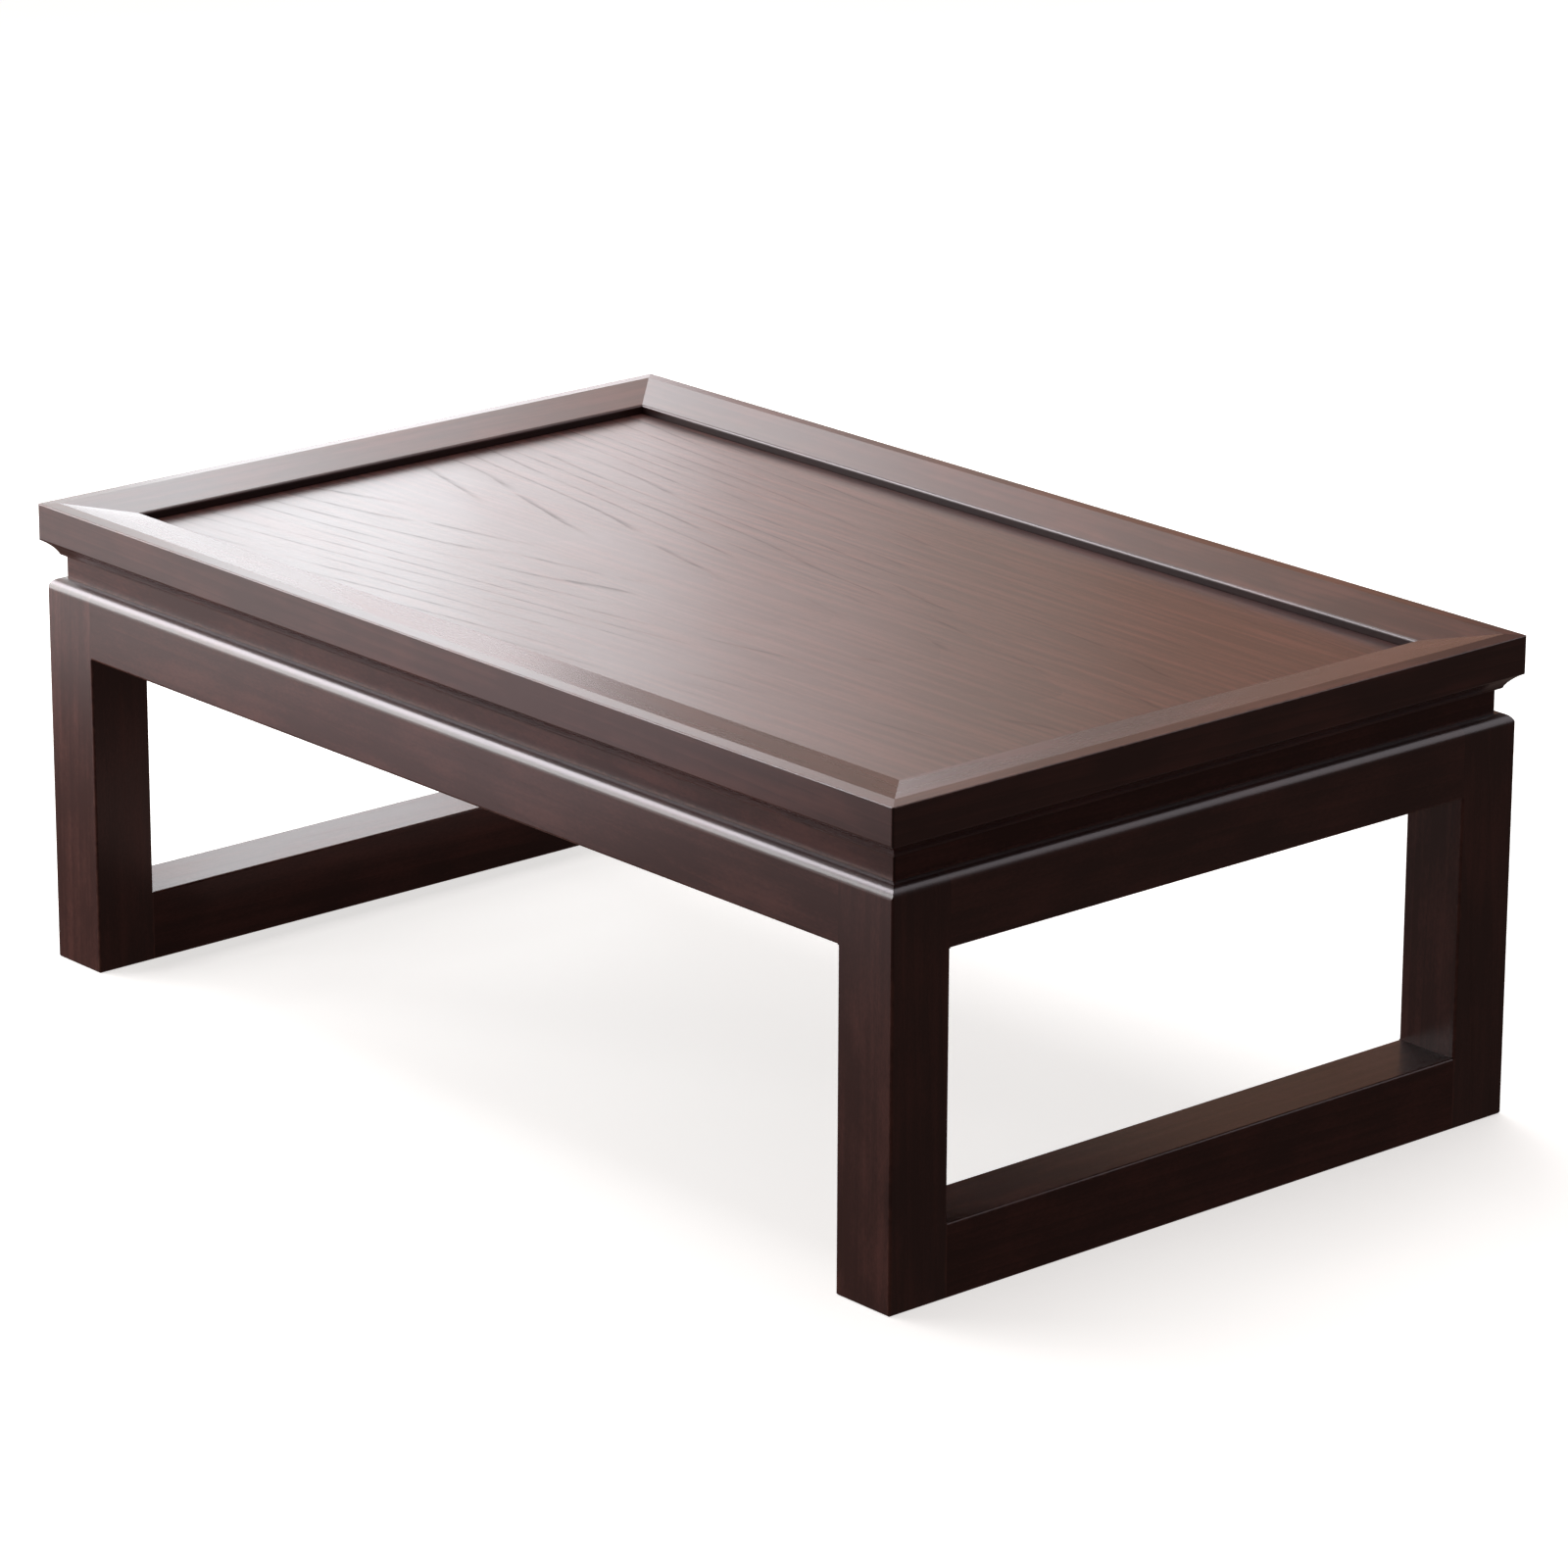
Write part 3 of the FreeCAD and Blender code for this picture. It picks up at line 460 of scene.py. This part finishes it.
def stained_wood(piece, along, heart, ring_width=9.0, taper=0.03, figure=0.2, thinning=0.0,
                 cloudy=0.65, open_pores=0.10, grit=0.20, tone=0.0, lacquer=1.0, inward=None,
                 edge_top=ABOVE_TABLE):
    """The finish of one stick: rings, pores and stain under a thin coat of lacquer.

    Edges are rubbed below the edge top only, and a stick with an inward side has a recess wall."""
    material, finish = new_finish(piece + "_finish")
    grain = stick_place(finish, piece, along, heart)
    place, distances = side_distances(finish, piece, along)
    season = ring_pattern(finish, grain, ring_width, taper)
    rows = figure * pore_rows(finish, grain, season, thinning)
    open_wood = rows + open_pores * fine_pores(finish, grain)
    streak = finish.noise(grain, STREAK_SIZE, 3.0)
    cloud = finish.noise(grain, CLOUD_SIZE, 4.0)
    speck = finish.noise(grain, SPECK_SIZE)
    mottle = (MOTTLE_SHARE - cloudy) * streak + cloudy * cloud + grit * (speck - 0.5)
    warmth = finish.ramp(mottle + MOTTLE_LIFT - AUTUMN_DIP * season + tone, *WARM_FADE)
    free = 1 - finish.ramp(finish.split(place)[2], edge_top - RUB_FADE, edge_top)
    rub = free * rubbed_edges(finish, place, distances)
    # A rail with an inward side gets painted shade on its recess wall: darker stain, thin lacquer, a
    # rough face.
    wall = recess_wall_shade(finish, place, piece, inward) if inward else 0.0
    # The soak mixes the real stain of pores and end grain with the painted shade of the recess wall.
    soak_and_shade = ROW_SOAK * rows + open_wood + END_SOAK * end_grain(finish, distances) + WALL_SHADE * wall
    stain = finish.blend(warmth, DEEP_STAIN, WARM_STAIN)
    stain = finish.blend(soak_and_shade, stain, PORE_STAIN_AND_SHADE)
    hollow = finish.node(
        "ShaderNodeBump", {}, {"Height": 1 - rows, "Distance": 0.0001, "Strength": 0.4},
    )
    coated = finish.node("ShaderNodeBsdfPrincipled", {}, {
        "Base Color": finish.blend(RUB_SHARE * rub * (1 - wall), stain, WORN_STAIN),
        "Roughness": WOOD_ROUGH + PORE_ROUGH * open_wood + CLOUD_ROUGH * cloud + WALL_ROUGH * wall,
        "Specular IOR Level": 0.1,
        "Coat Weight": lacquer * (1 - PORE_BARE * open_wood - RUB_BARE * rub - WALL_BARE * wall),
        "Coat Roughness": 0.24,
        "Coat IOR": 1.5,
        "Normal": hollow,
    })
    finish.node("ShaderNodeOutputMaterial", {}, {"Surface": coated})
    return material


print("stain and lacquer ready")

# %% [markdown]
# The panel is the widest board and shows the most figure. Its tree's heart lies 70 mm off the middle of
# the board and a little to one side, so the rings meet the face at a flat angle and draw long arches.
# They thin out towards the right, where the board is nearly plain.

# %% Top panel
PANEL_HEART = (0.0, 28.0, 70.0)
PANEL_RING = 12.0


def give(piece, material):
    """Puts a finish on every face of a piece."""
    for number in range(len(pieces[piece].data.materials)):
        pieces[piece].data.materials[number] = material


give("top_panel", stained_wood(
    "top_panel", "length", PANEL_HEART, ring_width=PANEL_RING, taper=0.11, figure=0.5,
    thinning=0.0004, cloudy=0.25,
))
print("panel finished, rings", PANEL_RING, "mm wide")

# %% [markdown]
# The sticks of the frame, the waist, the aprons, the legs and the runners come from different parts of
# the tree, so each has its own heart and its own tone. Both are drawn from one seeded generator, so the
# table looks the same every time. Wood grain follows the length of a stick, or the stick would break.
# The waist is set back where a brush hardly reaches, so it has less lacquer, and so have the runners
# down by the floor. The rails of the frame mirror the brightest light at a low angle, where specks turn
# to glitter, so their figure is faint. A leg has free edges only below the aprons, so it is rubbed only
# there.

# %% Sticks of the table
RUN = {"front": "length", "back": "length", "left": "width", "right": "width"}
INWARD = {
    "front": (0.0, 1.0, 0.0),
    "back": (0.0, -1.0, 0.0),
    "left": (1.0, 0.0, 0.0),
    "right": (-1.0, 0.0, 0.0),
}
LACQUER = {"frame_rail": 1.0, "waist": 0.5, "apron": 1.0, "leg": 1.0, "runner": 0.65}
SMOOTH = {"figure": 0.04, "open_pores": 0.02, "grit": 0.0}
HEART_SPREAD, HEART_NEAREST = np.array([900.0, 60.0, 60.0]), np.array([0.0, 20.0, 30.0])
TONE_SPREAD = 0.03

apron_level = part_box("apron_front")[0].z
chance = np.random.default_rng(11)
for piece in sorted(pieces):
    side = piece.split("_")[-1]
    stick = next((stick for stick in LACQUER if piece.startswith(stick)), None)
    if not stick:
        continue
    along = {"leg": "height", "runner": "width"}.get(stick) or RUN[side]
    heart = HEART_SPREAD * chance.random(3) + HEART_NEAREST
    tone = TONE_SPREAD * chance.random() - TONE_SPREAD / 2
    rail = {"inward": INWARD[side], **SMOOTH} if stick == "frame_rail" else {}
    give(piece, stained_wood(
        piece, along, heart, tone=tone, lacquer=LACQUER[stick],
        edge_top=apron_level if stick == "leg" else ABOVE_TABLE, **rail,
    ))
print("sticks finished, legs rubbed below", round(MM_PER_M * apron_level), "mm")

# %% [markdown]
# Inside, where nobody looks, the maker leaves the wood planed: one thin coat of stain, no lacquer. The
# battens, the blocks and the loose tenons get this finish. It uses the same rings and pores, in lighter
# colours and with a dry, rough face.

# %% Planed wood inside
PALE_STAIN = (0.180, 0.095, 0.055, 1.0)
PALE_AUTUMN = (0.120, 0.058, 0.034, 1.0)
PALE_WORN = (0.24, 0.14, 0.085, 1.0)
INNER_RING, INNER_TAPER = 5.0, 0.03
INNER_CLOUD = (90.0, 20.0, 20.0)


def planed_wood(piece, along, heart):
    """The finish of an inner stick: rings and pores under a thin stain, with no lacquer."""
    material, finish = new_finish(piece + "_finish")
    grain = stick_place(finish, piece, along, heart)
    place, distances = side_distances(finish, piece, along)
    season = ring_pattern(finish, grain, INNER_RING, INNER_TAPER)
    open_wood = 0.6 * pore_rows(finish, grain, season) + 0.2 * fine_pores(finish, grain)
    cloud = finish.noise(grain, INNER_CLOUD, 3.0)
    stain = finish.blend(finish.ramp(season + 0.6 * cloud, 0.3, 1.4), PALE_STAIN, PALE_AUTUMN)
    stain = finish.blend(0.6 * end_grain(finish, distances), stain, PORE_STAIN_AND_SHADE)
    stain = finish.blend(0.4 * rubbed_edges(finish, place, distances), stain, PALE_WORN)
    hollow = finish.node(
        "ShaderNodeBump", {}, {"Height": 1 - open_wood, "Distance": 0.0003, "Strength": 0.6},
    )
    dry = finish.node("ShaderNodeBsdfPrincipled", {}, {
        "Base Color": finish.blend(open_wood, stain, PORE_STAIN_AND_SHADE),
        "Roughness": 0.62 + 0.2 * open_wood,
        "Specular IOR Level": 0.3,
        "Normal": hollow,
    })
    finish.node("ShaderNodeOutputMaterial", {}, {"Surface": dry})
    return material


INNER = {"panel_batten": "width", "fixing_block": "length", "mitre_tenon": "length"}
INNER_SPREAD, INNER_NEAREST = np.array([900.0, 30.0, 30.0]), np.array([0.0, 15.0, 20.0])
for name, along in INNER.items():
    for piece in sorted(piece for piece in pieces if piece.startswith(name)):
        at_end = piece in ("fixing_block_left", "fixing_block_right")
        heart = INNER_SPREAD * chance.random(3) + INNER_NEAREST
        give(piece, planed_wood(piece, "width" if at_end else along, heart))
print("inner wood finished, rings", INNER_RING, "mm wide")

# %% [markdown]
# The screws are zinc plated steel. The plating is bright but not polished: it is a metal with a
# slightly uneven roughness, a faint bluish cast, and dull spots where it has been handled.

# %% Zinc plated screws
ZINC = (0.56, 0.57, 0.58, 1.0)
DULL_ZINC = (0.40, 0.39, 0.37, 1.0)
SPOT_SIZE = (0.0012, 0.0012, 0.0012)
DULL_SIZE, DULL_FADE = (0.004, 0.004, 0.004), (0.45, 0.70)


def zinc_plate():
    """The finish of the screws: a soft grey metal with fine spots in its colour and its gloss."""
    material, finish = new_finish("zinc_plate")
    place = finish.node("ShaderNodeTexCoord", {}, {}, out="Object")
    spots = finish.noise(place, SPOT_SIZE, 3.0)
    dull = finish.ramp(finish.noise(place, DULL_SIZE), *DULL_FADE)
    grain = finish.node("ShaderNodeBump", {}, {"Height": spots, "Distance": 0.00005, "Strength": 0.4})
    plate = finish.node("ShaderNodeBsdfPrincipled", {}, {
        "Base Color": finish.blend(dull, ZINC, DULL_ZINC),
        "Metallic": 1.0,
        "Roughness": 0.26 + 0.14 * spots + 0.16 * dull,
        "Normal": grain,
    })
    finish.node("ShaderNodeOutputMaterial", {}, {"Surface": plate})
    return material


plate = zinc_plate()
give("block_side_screws", plate)
give("block_top_screws", plate)
print("screws finished")
